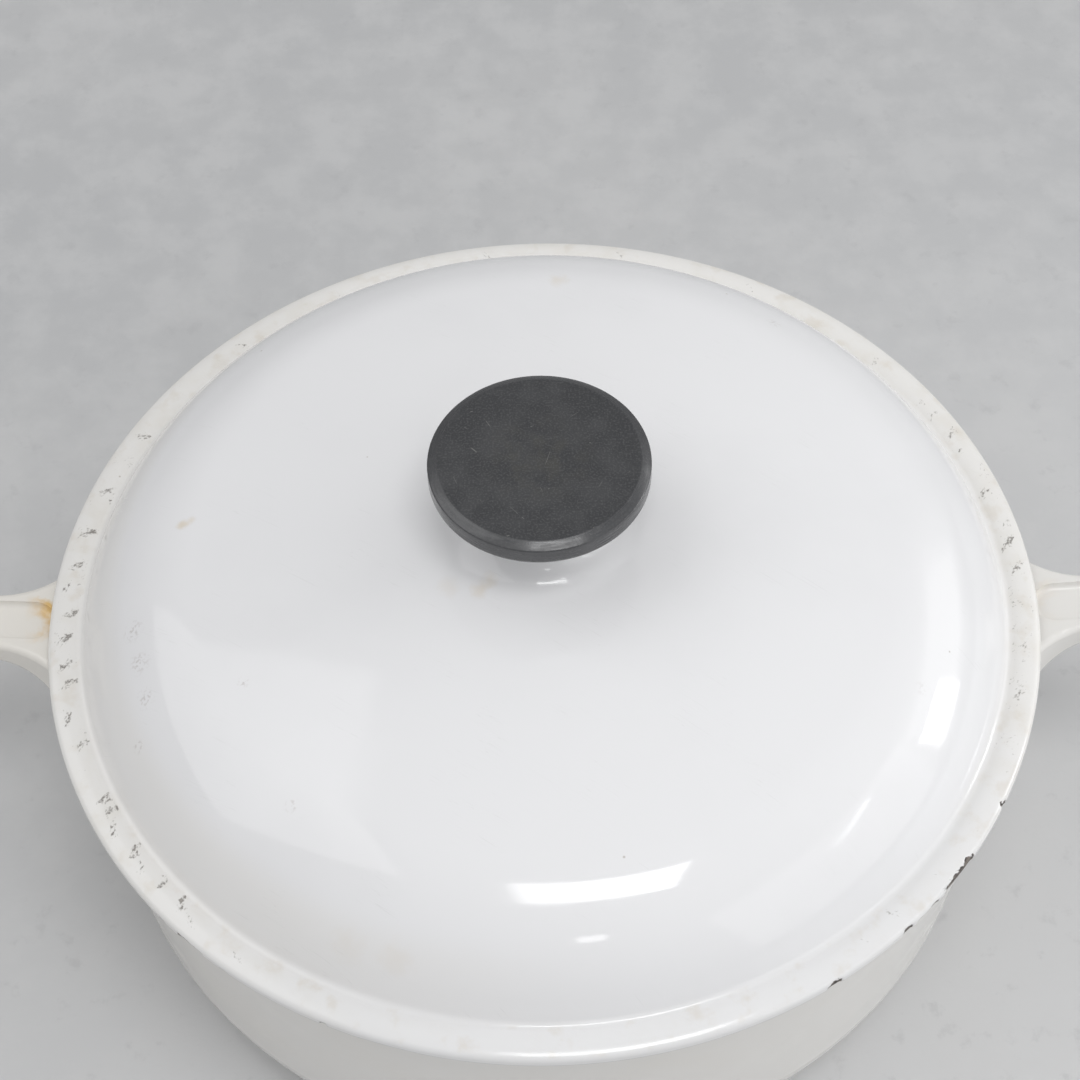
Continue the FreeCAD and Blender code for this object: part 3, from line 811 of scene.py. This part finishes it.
# %% [markdown]
# ## The pot's enamel
# The pot is white outside and a little creamier inside, where years of sauces have left a tea
# coloured bottom. Water that creeps between the lid and the handles dries there, and its iron
# leaves a rusty arc in each dished handle. The rim where the lid sits is bare iron, and so is the
# ring on which the pot has been dragged across hobs. One finish holds them all, because the
# height and the distance from the axis tell them apart.


# %% Pot enamel
POT_RIM_RADIUS = 121.0
POT_BASE_RADIUS = 112.0
POT_WALL = 4.8
BASE_ROUNDING = 32.0
DISH_HALF = 5.7
DISH_END = 123.4 + DISH_HALF


def pot_enamel():
    finish = Finish("enamel_pot")
    enamel_skin(finish)
    radius = finish.radius()
    parts = finish.add("ShaderNodeSeparateXYZ", {0: finish.place}).outputs
    height = parts["Z"]
    outside = mottled(finish, (0.785, 0.772, 0.745), OLD_WHITE, size=40)
    # the outside turns a darker, warmer white towards the left
    warmer_to_left = finish.step(finish.towards(170), 0.2, 0.95)
    outside = finish.mix(finish.both(warmer_to_left, 0.7), outside, (0.775, 0.745, 0.69))
    dots = specks(finish, 12, 0.5, 0.60)
    outside = finish.mix(finish.both(dots, 0.4), outside, (0.30, 0.24, 0.18))

    # rusty arcs round the inner ends of the two dishes, strongest at the back
    ragged = finish.noise(1.6, detail=3.0)
    blotchy = finish.step(finish.noise(2.4, detail=4.0), 0.30, 0.62, 0.45, 1.0)
    for side, strength in ((-1, 1.0), (1, 0.12)):
        away = finish.vector("DISTANCE", finish.place, (side * DISH_END * MM, 0, RIM * MM))
        away = finish.math("ADD", away, finish.both(finish.math("SUBTRACT", ragged, 0.5), 0.0022))
        back = finish.step(parts["Y"], -8.0 * MM, 6.0 * MM, 0.22, 1.0)
        outwards = finish.both(parts["X"], float(side))
        inner = finish.step(outwards, (DISH_END + 3) * MM, (DISH_END - 4) * MM)
        narrow = finish.band(away, DISH_HALF - 1.6, DISH_HALF + 0.5, 1.6)
        arc = finish.both(finish.both(narrow, inner), finish.both(back, blotchy))
        level = finish.step(height, (RIM - 5.5) * MM, (RIM - 3.2) * MM)
        outside = finish.mix(finish.both(finish.both(arc, level), strength), outside, RUST_STAIN)

    # inside: creamier, with a tea-coloured bottom and a faint tide line
    inside = mottled(finish, (0.78, 0.755, 0.70), (0.70, 0.65, 0.55), size=25)
    blotches = finish.step(finish.noise(22, detail=5.0), 0.34, 0.80)
    low = finish.step(height, 24 * MM, 5 * MM)
    inside = finish.mix(finish.both(finish.both(blotches, low), 0.55), inside, (0.56, 0.43, 0.28))
    tide = finish.band(height, 52, 53, 3.0)
    inside = finish.mix(finish.both(finish.both(tide, blotches), 0.3), inside, TEA_STAIN)
    # the inside is what lies within the middle of the wall, of the floor and of their rounding
    slope = (POT_RIM_RADIUS - POT_BASE_RADIUS) / RIM
    upright = finish.math("SUBTRACT", radius, finish.both(height, slope))
    beyond = finish.either(finish.math("SUBTRACT", upright, (POT_BASE_RADIUS - BASE_ROUNDING) * MM), 0.0)
    below = finish.either(finish.math("SUBTRACT", BASE_ROUNDING * MM, height), 0.0)
    corner = finish.add("ShaderNodeCombineXYZ", {"X": beyond, "Y": below}).outputs[0]
    reach = finish.vector("LENGTH", corner)
    is_inside = finish.math("LESS_THAN", reach, (BASE_ROUNDING - POT_WALL / 2) * MM)
    colour = finish.mix(is_inside, outside, inside)

    # bare iron on the rim, and in a worn ring on the base
    grain = finish.noise(0.9, detail=4.0)
    on_rim = finish.both(finish.step(height, (RIM - 1.0) * MM, (RIM - 0.5) * MM),
                         finish.math("LESS_THAN", radius, (POT_RIM_RADIUS + 0.1) * MM))
    ring = finish.both(finish.band(radius, 74, 79, 4), finish.step(height, 1.2 * MM, 0.3 * MM))
    ring = finish.both(ring, finish.step(finish.noise(5, detail=5.0), 0.35, 0.60))
    scuffs = finish.both(hairlines(finish, 30, 0.8), finish.step(height, 1.5 * MM, 0.2 * MM))
    colour = finish.mix(finish.both(scuffs, 0.5), colour, IRON_GREY)
    bare_here = finish.either(on_rim, ring)
    iron = finish.mix(grain, IRON_DARK, IRON_GREY)
    colour = finish.mix(bare_here, colour, iron)
    roughness = finish.step(finish.noise(16, detail=4.0), 0.42, 0.75, 0.09, 0.20)
    roughness = finish.math("ADD", roughness, finish.both(finish.both(is_inside, low), 0.12))
    return finish.done(colour, finish.either(roughness, finish.both(bare_here, 0.62)))


ENAMEL_POT = pot_enamel()
pot_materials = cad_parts["pot"].data.materials
pot_materials.clear()
pot_materials.append(ENAMEL_POT)

# %% [markdown]
# ## Floor, light and camera
# The pot stands on a pale mottled slab. A big soft window on the right does most of the work. A
# high strip in front draws the long highlight across the shoulder of the lid, and small panes
# give the short glints. The room itself is brighter overhead and in front.

# %% Floor
FLOOR_SIZE = 14.0


def slab():
    finish = Finish("pale_slab")
    broad = finish.step(finish.noise(150, detail=5.0), 0.36, 0.68)
    colour = finish.mix(broad, (0.475, 0.48, 0.487), (0.505, 0.508, 0.512))
    # painted light: the slab is paler towards the front, where more light falls on it
    wear_and_light = finish.step(finish.vector("DOT_PRODUCT", finish.place, (0.35, -0.94, 0)), -0.32, 0.36)
    colour = finish.mix(wear_and_light, colour, (0.70, 0.702, 0.705))
    fine = finish.step(finish.noise(20, detail=6.0, rough=0.62), 0.38, 0.66)
    colour = finish.mix(finish.both(fine, 0.38), colour, (0.62, 0.62, 0.62))
    smudges = finish.step(finish.noise(9, detail=6.0, rough=0.65), 0.56, 0.70)
    colour = finish.mix(finish.both(smudges, 0.26), colour, (0.40, 0.40, 0.41))
    finish.bump(fine, 0.05)
    return finish.done(colour, 0.75)


floor_mesh = bmesh.new()
bmesh.ops.create_grid(floor_mesh, x_segments=4, y_segments=4, size=FLOOR_SIZE / 2)
floor_data = bpy.data.meshes.new("floor")
floor_mesh.to_mesh(floor_data)
floor_mesh.free()
floor = bpy.data.objects.new("floor", floor_data)
floor.data.materials.append(slab())
bpy.context.scene.collection.objects.link(floor)

# %% Light
TARGET = Vector((0, 0, CREST * MM))


def panel(name, direction, distance, width, height, brightness, roll=0.0, tint=(1, 1, 1)):
    """A rectangular light that faces the lid. Brightness is what a mirror would show of it."""
    light = bpy.data.lights.new(name, "AREA")
    light.shape = "RECTANGLE"
    light.size = width
    light.size_y = height
    light.energy = brightness * math.pi * width * height
    light.color = tint
    lamp = bpy.data.objects.new(name, light)
    away = Vector(direction).normalized()
    lamp.location = TARGET + away * distance
    lamp.rotation_mode = "QUATERNION"
    lamp.rotation_quaternion = away.to_track_quat("Z", "Y") @ Quaternion((0, 0, 1), math.radians(roll))
    bpy.context.scene.collection.objects.link(lamp)
    print(f"{name}: {light.energy:.1f} W, {width} by {height} m at {distance} m")


panel("high_strip", (0.12, -0.34, 0.93), 1.5, 0.60, 0.34, 7.8, roll=-14)
# the window is a stack of panels, each smaller and nearer, so its reflection has soft edges
WINDOW_PANES = (
    # distance, width and height in metres, brightness
    (2.30, 2.1, 1.5, 0.16),
    (2.25, 1.75, 1.25, 0.22),
    (2.20, 1.4, 1.0, 0.45),
    (2.15, 1.15, 0.8, 0.75),
)
for number, (distance, width, height, brightness) in enumerate(WINDOW_PANES):
    panel(f"window_{number}", (0.86, 0.30, 0.36), distance, width, height, brightness)
panel("window_core", (0.95, 0.12, 0.26), 2.1, 0.42, 0.55, 7.0)
panel("front_pane", (0.12, -0.76, 0.64), 1.6, 0.14, 0.10, 5.0)
panel("side_pane", (0.82, -0.28, 0.51), 1.8, 0.36, 0.07, 4.5, roll=20)
panel("front_fill", (0.86, -0.44, 0.36), 2.2, 2.0, 1.4, 0.75)
panel("left_fill", (-0.62, 0.10, 0.78), 2.2, 1.7, 1.7, 1.05)

# the room is brighter overhead and in front than near the floor on the left
world = bpy.data.worlds.new("room")
bpy.context.scene.world = world
world.use_nodes = True
nodes = world.node_tree.nodes
links = world.node_tree.links
room = nodes["Background"]
room.inputs["Color"].default_value = (0.985, 0.99, 1.0, 1)
direction = nodes.new("ShaderNodeTexCoord").outputs["Generated"]
lean = nodes.new("ShaderNodeVectorMath")
lean.operation = "DOT_PRODUCT"
lean.inputs[1].default_value = (0.16, -0.30, 0.94)
ramp = nodes.new("ShaderNodeMapRange")
ramp.inputs["From Min"].default_value = -0.4
ramp.inputs["From Max"].default_value = 1.0
ramp.inputs["To Min"].default_value = 0.24
ramp.inputs["To Max"].default_value = 0.62
links.new(direction, lean.inputs[0])
links.new(lean.outputs["Value"], ramp.inputs["Value"])
links.new(ramp.outputs["Result"], room.inputs["Strength"])

# %% Camera
# the camera's values were fitted by a separate program
LENS = 83.33
SENSOR = 36.0
CAMERA_HEADING = -0.674
CAMERA_PITCH = -53.448
CAMERA_ROLL = -1.592
CAMERA_DISTANCE = 0.63865
LOOKS_AT = Vector((-0.00057, 0.01918, CREST * MM))

turn, tilt = math.radians(CAMERA_HEADING), math.radians(CAMERA_PITCH)
forward = Vector((math.sin(turn) * math.cos(tilt), math.cos(turn) * math.cos(tilt), math.sin(tilt)))
camera_data = bpy.data.cameras.new("camera")
camera_data.lens = LENS
camera_data.sensor_width = SENSOR
camera_data.clip_start = 0.01
camera = bpy.data.objects.new("camera", camera_data)
camera.location = LOOKS_AT - forward * CAMERA_DISTANCE
camera.rotation_mode = "QUATERNION"
camera.rotation_quaternion = (
    (-forward).to_track_quat("Z", "Y") @ Quaternion((0, 0, 1), math.radians(CAMERA_ROLL)))
bpy.context.scene.collection.objects.link(camera)
bpy.context.scene.camera = camera
bpy.context.scene.view_settings.view_transform = "Standard"
print("camera at", tuple(round(value, 4) for value in camera.location))
